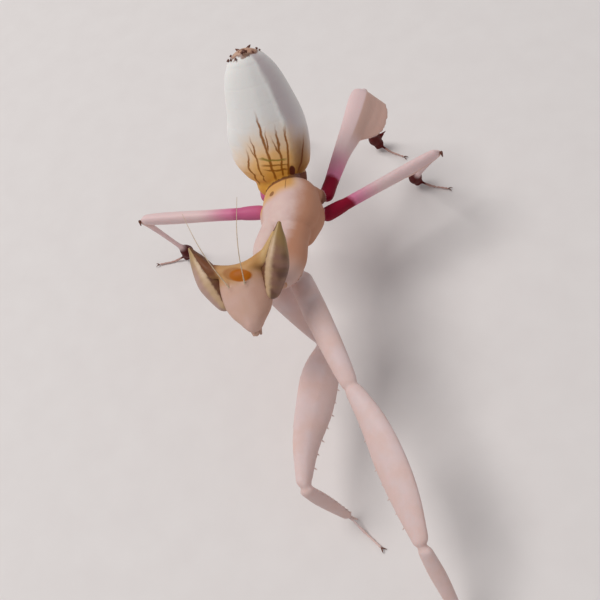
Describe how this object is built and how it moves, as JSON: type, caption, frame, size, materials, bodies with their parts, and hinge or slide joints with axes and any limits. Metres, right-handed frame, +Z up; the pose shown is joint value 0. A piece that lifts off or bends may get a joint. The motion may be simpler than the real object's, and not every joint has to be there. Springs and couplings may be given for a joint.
{
  "type": "orchid mantis",
  "caption": "Life-size orchid mantis nymph, cream white with a pink tinge, standing still with its abdomen raised and its forelegs stretched out in front.",
  "frame": {"origin": "bottom centre of the whole animal's box, on the floor its feet stand on", "axes": "+Z up, the animal faces -Y, its left side is +X; Y is the longest extent"},
  "size_m": [0.022, 0.0347, 0.0155],
  "materials": {
    "skin": "satin",
    "skin_tan": "satin",
    "leg": "satin",
    "leg_base": "satin",
    "eye": "gloss",
    "feeler": "matte",
    "dark_trim": "satin"
  },
  "bodies": {
    "root": {"thorax": "skin", "pronotum": "skin", "abdomen": "skin", "head": "skin_tan", "neck": "skin_tan", "eye_left": "eye", "eye_right": "eye", "antenna_left": "feeler", "antenna_right": "feeler", "mouthparts": "dark_trim", "hind_left_coxa": "leg_base", "hind_left_femur": "leg", "hind_left_tibia": "leg", "hind_left_tarsus": "dark_trim", "hind_right_coxa": "leg_base", "hind_right_femur": "leg", "hind_right_tibia": "leg", "hind_right_tarsus": "dark_trim", "mid_left_coxa": "leg_base", "mid_left_femur": "leg", "mid_left_tibia": "leg", "mid_left_tarsus": "dark_trim", "mid_right_coxa": "leg_base", "mid_right_femur": "leg", "mid_right_tibia": "leg", "mid_right_tarsus": "dark_trim", "fore_left_coxa": "leg", "fore_left_femur": "leg", "fore_left_tibia": "leg", "fore_left_tarsus": "leg", "fore_right_coxa": "leg", "fore_right_femur": "leg", "fore_right_tibia": "leg", "fore_right_tarsus": "leg"}
  },
  "joints": []
}
